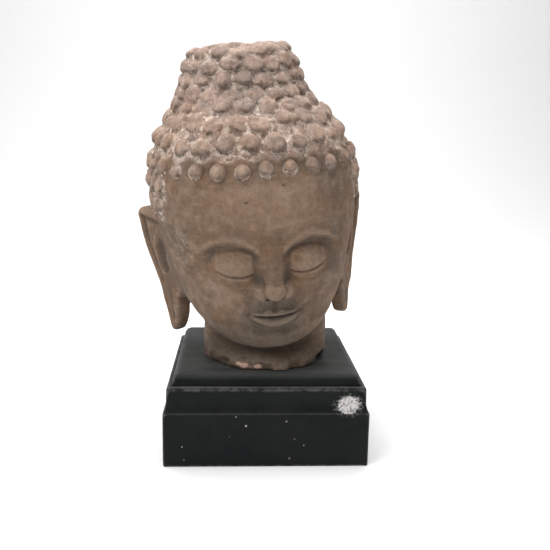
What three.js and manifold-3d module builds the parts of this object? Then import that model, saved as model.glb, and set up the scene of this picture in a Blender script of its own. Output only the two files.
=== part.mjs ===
// A carved sandstone Buddha head on its stepped black plinth.
// Millimetres, +Z up, the face looks along -Y. The origin is the centre of the plinth's underside.
import * as THREE from "three";
import { ConvexHull } from "three/addons/math/ConvexHull.js";
import { mergeVertices } from "three/addons/utils/BufferGeometryUtils.js";
import Module from "manifold-3d";

const wasm = await Module();
wasm.setup();

// ---- Driving dimensions -------------------------------------------------------------------

const PLINTH_WIDTH = 220;
const PLINTH_HEIGHT = 101.2;
const RESTING_GAP = 0.3;

// The head leans and turns a little on its block.
const HEAD_CENTRE = new THREE.Vector3(-17, -10, 320);
const HEAD_TURN = THREE.MathUtils.degToRad(6);
const HEAD_LEAN = THREE.MathUtils.degToRad(-5.3);
const HEAD_BOW = THREE.MathUtils.degToRad(8);

// Skull: an upright egg, given from the head's own centre.
const SKULL_WIDEST_Z = -15;
const SKULL_DOME_HEIGHT = 103;
const SKULL_TOP_SHIFT = -2.5;
const JAW_STATIONS = [
  { z: -15, halfWidth: 112.5, front: 118, back: 122 },
  { z: -45, halfWidth: 110.5, front: 119, back: 120 },
  { z: -75, halfWidth: 107, front: 118, back: 113 },
  { z: -105, halfWidth: 101, front: 117, back: 101 },
  { z: -130, halfWidth: 94, front: 116, back: 86 },
  { z: -150, halfWidth: 85, front: 115, back: 70 },
  { z: -168, halfWidth: 71, front: 112, back: 50 },
  { z: -181, halfWidth: 53, front: 104, back: 30 },
  { z: -190, halfWidth: 28, front: 84, back: 5 },
];
const SECTION_POWER = 2.25;

// Crown bulge: a broad blunt cone that runs into the skull.
const CROWN = { x: -6, y: 4, radius: 66, radiusZ: 84, taper: 0.36, bottom: 32, top: 122, edge: 13,
  blend: 7 };

// Face, by thirds: hairline to brow, brow to nose base, nose base to chin.
const FACE_THIRD = 60;
const HAIRLINE_Z = 0;
const BROW_Z = HAIRLINE_Z - FACE_THIRD;
const NOSE_BASE_Z = BROW_Z - FACE_THIRD;
const CHIN_Z = NOSE_BASE_Z - FACE_THIRD;
const EYE_WIDTH = 36;
const EYE_X = 38;
const EYE_Z = BROW_Z - 27;
const MOUTH_Z = NOSE_BASE_Z - FACE_THIRD / 3;
const MOUTH_HALF_WIDTH = 27;

// Neck stub: an upright oval column, broken off below and cut back under the chin.
const NECK = { y: -17, halfWidth: 70, halfDepth: 80, undercut: 26, top: 185,
  bottom: PLINTH_HEIGHT + RESTING_GAP };

// Ears: flat plates that run back and out from the cheek.
const EAR = { top: -47, tip: -196, thickness: 13 };

// Curls: worn drooping domes in level rows round the head, smallest along the forehead.
// `squat` is how many times wider than high a curl is.
const CURL_SPACING = 25;
const CURL_DROOP = 2;
const FRONT_CURL = { radius: 7, height: 6.6, squat: 1 };
const SECOND_CURL = { radius: 9.5, height: 7, squat: 1 };
const WORN_CURL = { radius: 10.5, height: 6.2, squat: 1.05 };
const CROWN_CURL = { radius: 10.5, height: 5.6, squat: 1.4 };
const SKULL_ROWS = [10, 33, 51, 65];
const CROWN_ROWS = [77, 91, 105, 118];
const TOP_ROW_RADII = [31, 9];
// Below the hairline each row runs from the temple or from behind one ear round the nape.
const NAPE_ROWS = [
  { z: -13, start: 1.12 },
  { z: -35, start: 1.22 },
  { z: -58, start: 1.85 },
  { z: -81, start: 1.9 },
  { z: -104, start: 1.95 },
  { z: -125, start: 2 },
];

// ---- Small helpers ------------------------------------------------------------------------

const { clamp, lerp, smoothstep } = THREE.MathUtils;

function bump(value, centre, width) {
  const t = (value - centre) / width;
  return Math.exp(-t * t);
}

function smoothUnion(a, b, blend) {
  const h = Math.max(blend - Math.abs(a - b), 0) / blend;
  return Math.min(a, b) - (h * h * blend) / 4;
}

function smoothIntersection(a, b, blend) {
  return -smoothUnion(-a, -b, blend);
}

// A smooth curve through the stations (Catmull-Rom with end slopes held level at the top).
function along(stations, key, z) {
  const last = stations.length - 1;
  if (z >= stations[0].z) return stations[0][key];
  if (z <= stations[last].z) return stations[last][key];
  let i = 0;
  while (z < stations[i + 1].z) i += 1;
  const slope = (k) => {
    if (k === 0) return 0;
    const before = stations[k - 1];
    const after = stations[Math.min(k + 1, last)];
    return (after[key] - before[key]) / (after.z - before.z);
  };
  const a = stations[i];
  const b = stations[i + 1];
  const span = b.z - a.z;
  const t = (z - a.z) / span;
  const t2 = t * t;
  const t3 = t2 * t;
  return (2 * t3 - 3 * t2 + 1) * a[key] + (t3 - 2 * t2 + t) * span * slope(i)
    + (3 * t2 - 2 * t3) * b[key] + (t3 - t2) * span * slope(i + 1);
}

// ---- The face, as a relief raised forward from the skull ------------------------------------

// Brow line: springs from the nose bridge and arches out to the temple.
function browLine(x) {
  const t = clamp((x - 8) / 66, 0, 1);
  return BROW_Z - 16 * (1 - t) ** 2.6 + 5 * Math.sin(Math.PI * t) - 12 * t ** 3;
}

// Closed lids: the slit sags below the eyeball and lifts again towards the outer corner.
function lidLine(x) {
  const t = (x - EYE_X) / (EYE_WIDTH / 2);
  return EYE_Z - 8 + 3 * t * t + 1.6 * t;
}

function eyeRelief(x, z) {
  const fromBrow = browLine(x) - z;
  const acrossSocket = smoothstep(x, 8, 20) * (1 - smoothstep(x, 58, 82));
  const socket = smoothstep(fromBrow, -2, 7) * (1 - smoothstep(fromBrow, 12, 46));
  const ball = Math.max(0, 1 - ((x - EYE_X) / 27) ** 2 - ((z - EYE_Z) / 18) ** 2);
  const lid = smoothstep(z - lidLine(x), -1.5, 1.5) * smoothstep(x, 17, 24) * (1 - smoothstep(x, 52, 60));
  return -6.4 * socket * acrossSocket + 6.2 * ball ** 1.2 + 1.6 * lid * ball ** 0.4;
}

// Line between the lips: a shallow bow that lifts at the corners.
function mouthLine(x) {
  const t = clamp(x / MOUTH_HALF_WIDTH, 0, 1.3);
  return MOUTH_Z - 0.9 * Math.cos(Math.PI * t) + 0.9 * t ** 2;
}

function mouthRelief(x, z) {
  const t = clamp(x / MOUTH_HALF_WIDTH, 0, 1.3);
  const line = mouthLine(x);
  const upper = bump(z, line + 5, 4.5) * (1 - smoothstep(t, 0.6, 1.06));
  const lower = bump(z, line - 6.5, 5.5) * (1 - smoothstep(t, 0.35, 0.9));
  const groove = bump(z, line, 1.3) * (1 - smoothstep(t, 0.9, 1.12));
  const corner = bump(x, MOUTH_HALF_WIDTH + 1, 4) * bump(z, line, 4.5);
  const philtrum = bump(x, 0, 3.6) * bump(z, NOSE_BASE_Z - 6, 6);
  const mound = (1 - smoothstep(x, 10, 50)) * bump(z, MOUTH_Z, 24);
  const hollow = bump(z, MOUTH_Z - 17, 5) * (1 - smoothstep(x, 8, 28));
  const chin = bump(x, 0, 23) * bump(z, CHIN_Z + 16, 15);
  return 4 * mound + 3.6 * upper + 4.2 * lower - 1.9 * groove - 1.9 * corner - 1.1 * philtrum
    - 2.6 * hollow + 6 * chin;
}

function faceRelief(x, z) {
  const side = Math.abs(x);
  const cheek = bump(side, 50, 26) * bump(z, NOSE_BASE_Z + 8, 26);
  return eyeRelief(side, z) + mouthRelief(side, z) + 3 * cheek;
}

// ---- The nose: a bridge that thickens downwards, a round tip and two wings -------------------

const vector = (x, y, z) => new THREE.Vector3(x, y, z);

const BRIDGE_TOP = vector(0, -109, BROW_Z - 12);
const BRIDGE_FOOT = vector(0, -126, NOSE_BASE_Z + 12);
const NOSE_TIP = { centre: vector(0, -128, NOSE_BASE_Z + 9), half: vector(10, 11, 8.5) };
const NOSE_WING = { centre: vector(12.5, -118, NOSE_BASE_Z + 7), half: vector(7, 10, 7) };

function taperedRod(p, a, b, radiusA, radiusB) {
  const axis = b.clone().sub(a);
  const t = clamp(p.clone().sub(a).dot(axis) / axis.lengthSq(), 0, 1);
  return p.distanceTo(a.clone().addScaledVector(axis, t)) - lerp(radiusA, radiusB, t);
}

function ellipsoid(p, { centre, half }) {
  return (p.clone().sub(centre).divide(half).length() - 1) * Math.min(half.x, half.y, half.z);
}

function noseForm(p) {
  const side = vector(Math.abs(p.x), p.y, p.z);
  const bridge = taperedRod(side, BRIDGE_TOP, BRIDGE_FOOT, 7.5, 8.5);
  return smoothUnion(smoothUnion(bridge, ellipsoid(side, NOSE_TIP), 5), ellipsoid(side, NOSE_WING), 3.5);
}

// ---- The stone without ears and neck, as one implicit form ----------------------------------

function skullForm(p) {
  const rise = Math.max(p.z - SKULL_WIDEST_Z, 0) / SKULL_DOME_HEIGHT;
  const halfWidth = along(JAW_STATIONS, "halfWidth", p.z);
  const middle = p.z < -150 ? (p.z + 150) * 0.9 : 0;
  const depth = p.y < middle
    ? along(JAW_STATIONS, "front", p.z) + middle
    : along(JAW_STATIONS, "back", p.z) - middle;
  const side = p.x - SKULL_TOP_SHIFT * smoothstep(p.z, -10, 30);
  const section = ((Math.abs(side) / halfWidth) ** SECTION_POWER
    + (Math.abs(p.y - middle) / Math.max(depth, 4)) ** SECTION_POWER) ** (1 / SECTION_POWER);
  const form = (Math.hypot(section, rise) - 1) * Math.min(halfWidth, 90);
  return Math.max(form, JAW_STATIONS[JAW_STATIONS.length - 1].z + 1 - p.z);
}

function crownForm(p) {
  const out = Math.hypot(p.x - CROWN.x, p.y - CROWN.y);
  const cone = (out - CROWN.radius + CROWN.taper * (p.z - CROWN.radiusZ)) * 0.9;
  return Math.max(smoothIntersection(cone, p.z - CROWN.top, CROWN.edge), CROWN.bottom - p.z);
}

function bareForm(p) {
  const forward = p.y < 0 ? smoothstep(-p.y, 30, 80) : 0;
  const faced = vector(p.x, p.y, p.z);
  const inFace = p.z < BROW_Z + 30;
  if (inFace) faced.y += faceRelief(p.x, p.z) * forward;
  const skull = smoothUnion(skullForm(faced), crownForm(p), CROWN.blend);
  return inFace && p.y < -60 ? smoothUnion(skull, noseForm(p), 9) : skull;
}

// Outermost point of a form on a ray from `origin`, found from outside by halving steps.
function surfacePoint(form, origin, direction) {
  const at = (distance) => origin.clone().addScaledVector(direction, distance);
  let outside = 230;
  while (form(at(outside)) > 0 && outside > 4) outside -= 4;
  let inside = outside;
  outside += 4;
  for (let i = 0; i < 18; i += 1) {
    const middle = (inside + outside) / 2;
    if (form(at(middle)) > 0) outside = middle;
    else inside = middle;
  }
  return at(inside);
}

// ---- Curls ----------------------------------------------------------------------------------

const AXIS = vector(0, 0, 0);

function ringDirection(angle) {
  return vector(Math.sin(angle), -Math.cos(angle), 0);
}

// Evenly spaced seats for curls round one level of the head, from `from` round to `to`.
function seatRow(form, z, from, to, shift) {
  const origin = AXIS.clone().setZ(z);
  const radius = surfacePoint(form, origin, ringDirection((from + to) / 2)).distanceTo(origin);
  const full = to - from > 6.2;
  const count = Math.round((radius * (to - from)) / CURL_SPACING);
  const seats = [];
  for (let i = 0; i < count + (full ? 0 : 1); i += 1) {
    const angle = from + ((i + shift) * (to - from)) / count;
    seats.push(surfacePoint(form, origin, ringDirection(angle)));
  }
  return seats;
}

// One curl: a ball sunk below its seat so that a dome of the given radius and height stands out.
function curlOn(form, seat, { radius, height, squat }) {
  const out = outward(form, seat);
  const east = vector(0.01, 0, 1).cross(out).normalize();
  const north = out.clone().cross(east);
  const ballRadius = (radius ** 2 + height ** 2) / (2 * height);
  const ball = seat.clone().addScaledVector(out, height - ballRadius);
  ball.addScaledVector(north, -CURL_DROOP);
  return { seat, out, east, north, radius, squat, ball, ballRadius };
}

function distanceToCurl(p, { ball, ballRadius, north, squat }) {
  const away = p.clone().sub(ball);
  const rise = away.dot(north);
  return Math.sqrt(away.lengthSq() + (squat ** 2 - 1) * rise ** 2) - ballRadius;
}

function allCurls(form) {
  const turn = 2 * Math.PI;
  const curls = [];
  const add = (seats, size) => curls.push(...seats.map((seat) => curlOn(form, seat, size)));
  [...SKULL_ROWS, ...CROWN_ROWS].forEach((z, i) => {
    const size = [FRONT_CURL, SECOND_CURL, WORN_CURL, WORN_CURL][i] ?? CROWN_CURL;
    add(seatRow(form, z, 0, turn, (i % 2) / 2), size);
  });
  TOP_ROW_RADII.forEach((radius, i) => {
    const count = Math.max(3, Math.round((turn * radius) / CURL_SPACING));
    for (let k = 0; k < count; k += 1) {
      const out = ringDirection(((k + i / 2) * turn) / count).multiplyScalar(radius);
      const origin = vector(CROWN.x + out.x, CROWN.y + out.y, 40);
      add([surfacePoint(form, origin, vector(0, 0, 1))], CROWN_CURL);
    }
  });
  for (const { z, start } of NAPE_ROWS) add(seatRow(form, z, start, turn - start, 0), WORN_CURL);
  return curls;
}

function curledForm(form, curls) {
  return (p) => curls.reduce((least, curl) => Math.min(least, distanceToCurl(p, curl)), form(p));
}

function outward(form, p) {
  const step = 1.5;
  const rise = (x, y, z) => form(p.clone().add(vector(x, y, z)));
  return vector(
    rise(step, 0, 0) - rise(-step, 0, 0),
    rise(0, step, 0) - rise(0, -step, 0),
    rise(0, 0, step) - rise(0, 0, -step),
  ).normalize();
}

// ---- The head's skin: chosen points on the form, joined by a spherical Delaunay net ----------

const HEART = vector(0, -5, -45);

// Points of the face: first along its carved lines, then level rows that keep clear of them.
function facePoints(form) {
  const forward = vector(0, -1, 0);
  const points = [];
  const keep = (x, z, room) => {
    for (const side of x > 0 ? [-1, 1] : [1]) {
      const point = surfacePoint(form, vector(side * x, 0, z), forward);
      const flat = (q) => Math.hypot(q.x - point.x, q.z - point.z);
      if (points.every((q) => flat(q) > room)) points.push(point);
    }
  };
  const follow = (line, offsets, from, to, step) => {
    for (const offset of offsets) {
      for (let x = from; x <= to; x += step) keep(x, line(x) + offset, 1.6);
    }
  };
  follow(mouthLine, [0, 4.5, -6, 9.5, -12.5], 0, MOUTH_HALF_WIDTH + 1, 4.6);
  follow(lidLine, [1.8, -1.8], EYE_X - EYE_WIDTH / 2, EYE_X + EYE_WIDTH / 2 + 3, 4.8);
  follow(browLine, [2.5, -5.5], 12, 72, 5.4);
  follow(() => NOSE_BASE_Z, [-3.5, 3, 9], 0, 24, 4.2);
  for (let z = NOSE_BASE_Z + 15; z < BROW_Z; z += 6) {
    for (const x of [0, 5, 10, 16]) keep(x, z, 2.5);
  }
  for (let z = HAIRLINE_Z - 4, i = 0; z > CHIN_Z - 2; z -= 6, i += 1) {
    const widest = along(JAW_STATIONS, "halfWidth", z) * 0.84;
    for (let x = i % 2 ? 3.5 : 0; x < widest; x += 7) keep(x, z, 4.8);
  }
  return points;
}

// Sides of the head below the hair, and the round underside.
function flankPoints(form) {
  const points = [];
  for (let z = HAIRLINE_Z - 10; z > CHIN_Z; z -= 15) {
    for (let k = 0; k < 32; k += 1) {
      const angle = ((k + 0.5) * Math.PI * 2) / 32;
      const open = Math.abs(Math.sin(angle)) > 0.86 || Math.cos(angle) < -0.2;
      if (open) points.push(surfacePoint(form, AXIS.clone().setZ(z), ringDirection(angle)));
    }
  }
  for (let tilt = 0.25; tilt < 1; tilt += 0.25) {
    for (let k = 0; k < 16; k += 1) {
      const out = ringDirection((k * Math.PI * 2) / 16).multiplyScalar(Math.sin(tilt));
      points.push(surfacePoint(form, HEART, out.setZ(-Math.cos(tilt))));
    }
  }
  return points;
}

// Points of the curls: a tip, a shoulder ring and a foot ring on each. A point stands over its
// spot on the bare head, and the net is drawn between the spots.
function curlPoints(form, curls) {
  const whole = curledForm(form, curls);
  const points = [];
  const raise = (spot, out) => {
    const inside = spot.clone().addScaledVector(out, -30);
    points.push({ spot, place: surfacePoint(whole, inside, out) });
  };
  for (const { seat, out, east, north, radius, squat } of curls) {
    const middle = seat.clone().addScaledVector(north, -CURL_DROOP);
    raise(middle, out);
    for (const [reach, count] of [[0.55, 4], [1.02, radius > 10 ? 7 : 6]]) {
      for (let k = 0; k < count; k += 1) {
        const angle = (k * 2 * Math.PI) / count;
        const foot = middle.clone();
        foot.addScaledVector(east, Math.cos(angle) * reach * radius);
        foot.addScaledVector(north, (Math.sin(angle) * reach * radius) / squat);
        const own = foot.distanceTo(seat);
        const nearer = (other) => other.seat !== seat && other.seat.distanceTo(foot) < own + 0.8;
        if (!curls.some(nearer)) raise(foot, out);
      }
    }
  }
  return points;
}

function skinPoints(form, curls) {
  const plain = [...facePoints(form), ...flankPoints(form)];
  const clear = plain.filter((p) => curls.every((c) => c.seat.distanceTo(p) > c.radius * 1.3));
  return [...clear.map((p) => ({ spot: p, place: p })), ...curlPoints(form, curls)];
}

function netOver(points) {
  const directions = points.map(({ spot }) => spot.clone().sub(HEART).normalize());
  const hull = new ConvexHull().setFromPoints(directions);
  const places = new Map(directions.map((d, i) => [d, points[i].place]));
  const corners = [];
  for (const face of hull.faces) {
    const loop = [];
    let edge = face.edge;
    do {
      loop.push(places.get(edge.head().point));
      edge = edge.next;
    } while (edge !== face.edge);
    for (let i = 1; i + 1 < loop.length; i += 1) corners.push(loop[0], loop[i], loop[i + 1]);
  }
  return mergeVertices(new THREE.BufferGeometry().setFromPoints(corners), 1e-4);
}

// ---- Ears -----------------------------------------------------------------------------------

// Outline of one ear seen square on: u runs from the cheek back to the outer rim, z is height.
function earOutline() {
  const outline = new THREE.Shape();
  outline.moveTo(-8, EAR.top - 4);
  outline.lineTo(52, EAR.top);
  outline.quadraticCurveTo(60, EAR.top - 1, 60, EAR.top - 10);
  outline.bezierCurveTo(59, -84, 52, -104, 44, -124);
  outline.bezierCurveTo(39, -142, 37, -160, 34, EAR.tip + 14);
  outline.quadraticCurveTo(31, EAR.tip - 2, 21, EAR.tip + 2);
  outline.bezierCurveTo(8, EAR.tip + 12, 3, -165, 0, -148);
  outline.lineTo(-10, -135);
  return outline;
}

// Height of the carved relief on the ear's outer face: rim, channel, inner fold and bowl.
function earRelief(u, z) {
  const rimU = lerp(28, 52, smoothstep(z, EAR.tip, -80));
  const rim = bump(u, rimU, 6) * smoothstep(z, EAR.tip + 8, EAR.tip + 40);
  const topRim = bump(z, EAR.top - 8, 6) * smoothstep(u, 4, 14);
  const bowl = bump(u, 20, 10) * bump(z, -104, 20);
  const hollow = bump(u, 30, 8) * bump(z, -72, 10);
  return 2.2 * Math.max(rim, topRim) - 4.5 * bowl - 2 * hollow;
}

function ear(side) {
  const plate = new THREE.ExtrudeGeometry(earOutline(), {
    depth: EAR.thickness, bevelEnabled: true, bevelSize: 2.5, bevelThickness: 2.5,
    bevelSegments: 1, curveSegments: 5,
  });
  plate.deleteAttribute("normal");
  plate.deleteAttribute("uv");
  let solid = toSolid(mergeVertices(plate, 1e-4)).refineToLength(15);
  const mesh = fromSolid(solid);
  const position = mesh.getAttribute("position");
  const rootX = (z) => lerp(95, 99.5, smoothstep(z, -190, -40));
  for (let i = 0; i < position.count; i += 1) {
    const u = position.getX(i);
    const z = position.getY(i);
    const face = position.getZ(i) > EAR.thickness / 2 ? 1 : 0;
    const lift = position.getZ(i) - EAR.thickness + face * earRelief(u, z);
    const flare = lerp(0.42, 0.53, smoothstep(z, -190, -50));
    const x = rootX(z) + u * flare + lift * 0.87;
    const y = -18 + u * 0.87 - lift * 0.45;
    position.setXYZ(i, side * x, y, z);
  }
  if (side < 0) flipFaces(mesh);
  return toSolid(mesh);
}

// ---- Neck stub, in the plinth's upright frame ------------------------------------------------

function neck() {
  const column = new THREE.CylinderGeometry(1, 1, NECK.top - NECK.bottom, 36, 6);
  column.rotateX(Math.PI / 2);
  column.translate(0, 0, (NECK.top + NECK.bottom) / 2);
  column.deleteAttribute("normal");
  column.deleteAttribute("uv");
  const mesh = mergeVertices(column, 1e-4);
  const position = mesh.getAttribute("position");
  for (let i = 0; i < position.count; i += 1) {
    const angle = Math.atan2(position.getY(i), position.getX(i));
    const out = Math.hypot(position.getX(i), position.getY(i));
    const height = position.getZ(i) - NECK.bottom;
    // The broken rim is eaten back unevenly just above the plinth.
    const wear = 2.2 + 1.2 * Math.sin(3 * angle + 1) + 0.9 * Math.sin(7 * angle);
    const size = out * (1 - (wear / 75) * (1 - smoothstep(height, 0, 12)));
    const ahead = smoothstep(-Math.sin(angle) * out * NECK.halfDepth, 0, 50);
    const halfDepth = NECK.halfDepth - NECK.undercut * smoothstep(height, 3, 30) * ahead;
    const x = Math.cos(angle) * size * NECK.halfWidth;
    const y = Math.sin(angle) * size * halfDepth + NECK.y;
    position.setXYZ(i, x, y, position.getZ(i));
  }
  return toSolid(mesh);
}

// ---- Manifold in and out ----------------------------------------------------------------------

function toSolid(geometry) {
  const vertProperties = Float32Array.from(geometry.getAttribute("position").array);
  const triVerts = Uint32Array.from(geometry.index.array);
  return new wasm.Manifold(new wasm.Mesh({ numProp: 3, vertProperties, triVerts }));
}

function fromSolid(solid) {
  const { vertProperties, triVerts } = solid.getMesh();
  const geometry = new THREE.BufferGeometry();
  geometry.setAttribute("position", new THREE.BufferAttribute(vertProperties, 3));
  geometry.setIndex(new THREE.BufferAttribute(triVerts, 1));
  return geometry;
}

function flipFaces(geometry) {
  const index = geometry.index;
  for (let i = 0; i < index.count; i += 3) {
    const first = index.getX(i);
    index.setX(i, index.getX(i + 1));
    index.setX(i + 1, first);
  }
}

// ---- Pieces -------------------------------------------------------------------------------------

function buddhaHead() {
  const curls = allCurls(bareForm);
  const skin = toSolid(netOver(skinPoints(bareForm, curls)));
  const stone = fromSolid(skin.add(ear(-1)).add(ear(1)));
  const pose = new THREE.Matrix4().makeRotationZ(HEAD_TURN);
  pose.multiply(new THREE.Matrix4().makeRotationY(HEAD_LEAN));
  pose.multiply(new THREE.Matrix4().makeRotationX(HEAD_BOW));
  pose.setPosition(HEAD_CENTRE);
  stone.applyMatrix4(pose);
  const slab = new THREE.BoxGeometry(600, 600, 100).translate(0, 0, NECK.bottom - 50);
  slab.deleteAttribute("normal");
  slab.deleteAttribute("uv");
  const whole = toSolid(stone).add(neck()).subtract(toSolid(mergeVertices(slab)));
  const material = new THREE.MeshStandardMaterial({ color: 0x8a7160, roughness: 0.9, metalness: 0 });
  const mesh = new THREE.Mesh(fromSolid(whole), material);
  mesh.name = "buddha_head";
  return mesh;
}

// Half-widths and heights of the plinth's moulding, from the underside to the flat top.
function plinthProfile() {
  const half = PLINTH_WIDTH / 2;
  const profile = [[half - 1.2, 0], [half, 1.2], [half, 57.7], [half - 0.6, 58.9]];
  const ledge = 3;
  for (let i = 1; i <= ledge; i += 1) {
    const t = i / ledge;
    profile.push([half - 0.6 - 2.7 * t, 58.9 + 7.6 * t ** 1.5]);
  }
  profile.push([106.2, 84.6], [104.8, 86.8], [102.6, 87.1], [101.8, 86.4], [100.9, 87.4]);
  const cove = 5;
  for (let i = 1; i <= cove; i += 1) {
    const angle = (i / cove) * (Math.PI / 2);
    profile.push([100.9 - 10.6 * (1 - Math.cos(angle)), 87.4 + 13.8 * Math.sin(angle)]);
  }
  return profile;
}

function plinth() {
  const cornerRadius = 2.4;
  const cornerSteps = 2;
  const rings = plinthProfile().map(([half, z]) => {
    const ring = [];
    for (let corner = 0; corner < 4; corner += 1) {
      for (let k = 0; k <= cornerSteps; k += 1) {
        const angle = ((corner + k / cornerSteps) * Math.PI) / 2;
        const turn = ((corner + 0.5) * Math.PI) / 2;
        const centre = (half - cornerRadius) * Math.SQRT2;
        ring.push(new THREE.Vector3(
          Math.cos(turn) * centre + Math.cos(angle) * cornerRadius,
          Math.sin(turn) * centre + Math.sin(angle) * cornerRadius,
          z,
        ));
      }
    }
    return ring;
  });
  const corners = [];
  const count = rings[0].length;
  for (let r = 0; r + 1 < rings.length; r += 1) {
    for (let k = 0; k < count; k += 1) {
      const next = (k + 1) % count;
      const [a, b] = [rings[r][k], rings[r][next]];
      const [c, d] = [rings[r + 1][k], rings[r + 1][next]];
      corners.push(a, b, d, a, d, c);
    }
  }
  const foot = rings[0];
  const top = rings[rings.length - 1];
  for (let k = 1; k + 1 < count; k += 1) {
    corners.push(foot[0], foot[k + 1], foot[k]);
    corners.push(top[0], top[k], top[k + 1]);
  }
  const geometry = mergeVertices(new THREE.BufferGeometry().setFromPoints(corners), 1e-4);
  const material = new THREE.MeshStandardMaterial({ color: 0x202224, roughness: 0.5, metalness: 0 });
  const mesh = new THREE.Mesh(geometry, material);
  mesh.name = "plinth";
  return mesh;
}

const group = new THREE.Group();
group.add(buddhaHead());
group.add(plinth());

export default group;
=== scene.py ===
"""Looks of a carved sandstone Buddha head on its stepped black plinth."""
import math

import bpy
import numpy as np
import openvdb
from mathutils import Matrix, Vector
from mathutils.kdtree import KDTree


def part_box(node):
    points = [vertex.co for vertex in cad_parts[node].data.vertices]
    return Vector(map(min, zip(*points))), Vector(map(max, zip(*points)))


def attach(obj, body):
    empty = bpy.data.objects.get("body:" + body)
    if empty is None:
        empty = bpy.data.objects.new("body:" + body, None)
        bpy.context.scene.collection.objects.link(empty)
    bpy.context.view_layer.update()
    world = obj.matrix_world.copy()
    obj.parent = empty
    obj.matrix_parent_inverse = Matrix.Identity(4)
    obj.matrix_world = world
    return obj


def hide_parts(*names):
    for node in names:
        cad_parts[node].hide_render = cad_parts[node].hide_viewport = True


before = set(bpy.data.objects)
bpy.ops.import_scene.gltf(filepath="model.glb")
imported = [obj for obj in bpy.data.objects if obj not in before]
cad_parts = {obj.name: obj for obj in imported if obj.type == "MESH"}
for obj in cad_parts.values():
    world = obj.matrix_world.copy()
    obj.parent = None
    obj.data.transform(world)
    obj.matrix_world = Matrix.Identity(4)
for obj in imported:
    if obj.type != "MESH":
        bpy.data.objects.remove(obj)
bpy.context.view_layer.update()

MM = 0.001
PLINTH_LOW, PLINTH_HIGH = (np.array(corner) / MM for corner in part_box("plinth"))
HEAD_LOW = np.array(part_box("buddha_head")[0]) / MM

# ---- Camera --------------------------------------------------------------------------------
# The camera stands a little left of the object and looks slightly down on the plinth.

CAMERA_PLACE = Vector((-33.0, -831.8, 341.7)) * MM
CAMERA_TURN, CAMERA_TILT, CAMERA_ROLL = (math.radians(a) for a in (3.09, 10.42, 1.04))
CAMERA_LENS = 47.19


def add_camera():
    ahead = Vector((math.sin(CAMERA_TURN) * math.cos(CAMERA_TILT),
                    math.cos(CAMERA_TURN) * math.cos(CAMERA_TILT),
                    -math.sin(CAMERA_TILT)))
    level = Vector((math.cos(CAMERA_TURN), -math.sin(CAMERA_TURN), 0.0))
    upright = level.cross(ahead)
    right = math.cos(CAMERA_ROLL) * level + math.sin(CAMERA_ROLL) * upright
    up = math.cos(CAMERA_ROLL) * upright - math.sin(CAMERA_ROLL) * level
    camera = bpy.data.cameras.new("camera")
    camera.lens = CAMERA_LENS
    camera.sensor_width = 36.0
    camera.clip_start = 0.05
    holder = bpy.data.objects.new("camera", camera)
    holder.matrix_world = Matrix((right, up, -ahead)).transposed().to_4x4()
    holder.matrix_world.translation = CAMERA_PLACE
    bpy.context.scene.collection.objects.link(holder)
    bpy.context.scene.camera = holder


# ---- Named sizes of the head, in millimetres from its own centre ---------------------------

HEAD_CENTRE = Vector((-17.0, -10.0, 320.0))
HEAD_TURN, HEAD_LEAN, HEAD_BOW = (math.radians(a) for a in (6.0, -5.3, 8.0))
HEAD_POSE = (Matrix.Translation(HEAD_CENTRE) @ Matrix.Rotation(HEAD_TURN, 4, "Z")
             @ Matrix.Rotation(HEAD_LEAN, 4, "Y") @ Matrix.Rotation(HEAD_BOW, 4, "X"))

SKULL_WIDEST_Z, SKULL_DOME, SKULL_TOP_SHIFT = -15.0, 103.0, -2.5
# Height, half-width, front and back of the skull and jaw.
JAW_STATIONS = np.array([
    (-15, 112.5, 118, 122), (-45, 110.5, 119, 120), (-75, 107, 118, 113), (-105, 101, 117, 101),
    (-130, 94, 116, 86), (-150, 85, 115, 70), (-168, 71, 112, 50), (-181, 53, 104, 30),
    (-190, 28, 84, 5)], float)
SECTION_POWER = 2.25
CROWN = dict(x=-6.0, y=4.0, radius=66.0, radius_z=84.0, taper=0.36, bottom=32.0, top=122.0,
             edge=13.0, blend=7.0)

FACE_THIRD = 60.0
HAIRLINE_Z = 0.0
BROW_Z = HAIRLINE_Z - FACE_THIRD
NOSE_BASE_Z = BROW_Z - FACE_THIRD
CHIN_Z = NOSE_BASE_Z - FACE_THIRD
EYE_WIDTH, EYE_X, EYE_Z = 36.0, 38.0, BROW_Z - 27.0
MOUTH_Z = NOSE_BASE_Z - FACE_THIRD / 3
MOUTH_HALF_WIDTH = 27.0

NECK = dict(y=-17.0, half_width=70.0, half_depth=80.0, undercut=26.0, top=185.0)
EAR_TOP, EAR_TIP = -47.0, -196.0
EAR_ROOT_LOW, EAR_ROOT_HIGH, EAR_ROOT_Y = 95, 99.5, -18
# How far the ear's plane runs outwards and backwards, seen from above.
EAR_OUT, EAR_BACK = 0.45, 0.87

# The middle of the neck's front, in the plinth's frame.
NECK_FRONT = (-17.0, -88.0)
# Fresh breaks on the neck's front rim, in the same frame: centre and half-width.
BREAKS = (((-31.0, -95.0, 107.5), 5.0), ((-24.5, -96.5, 106.0), 5.5), ((-17.5, -97.5, 104.2), 4.0),
          ((-9.5, -97.5, 105.0), 5.5), ((-3.5, -97.5, 103.2), 3.5))

CURL_SPACING = 25.0
SKULL_ROWS = (10, 33, 51, 65)
CROWN_ROWS = (77, 91, 105, 118)
TOP_ROW_RADII = (31, 9)
NAPE_ROWS = ((-13, 1.12), (-35, 1.22), (-58, 1.85), (-81, 1.9), (-104, 1.95), (-125, 2.0))

# ---- Form helpers, on arrays ---------------------------------------------------------------


def ramp(value, low, high):
    t = np.clip((value - low) / (high - low), 0, 1)
    return t * t * (3 - 2 * t)


def bump(value, centre, width):
    t = (value - centre) / width
    return np.exp(-t * t)


def mix(a, b, t):
    return a + (b - a) * t


def smooth_union(a, b, blend):
    h = np.maximum(blend - np.abs(a - b), 0) / blend
    return np.minimum(a, b) - h * h * blend / 4


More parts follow.
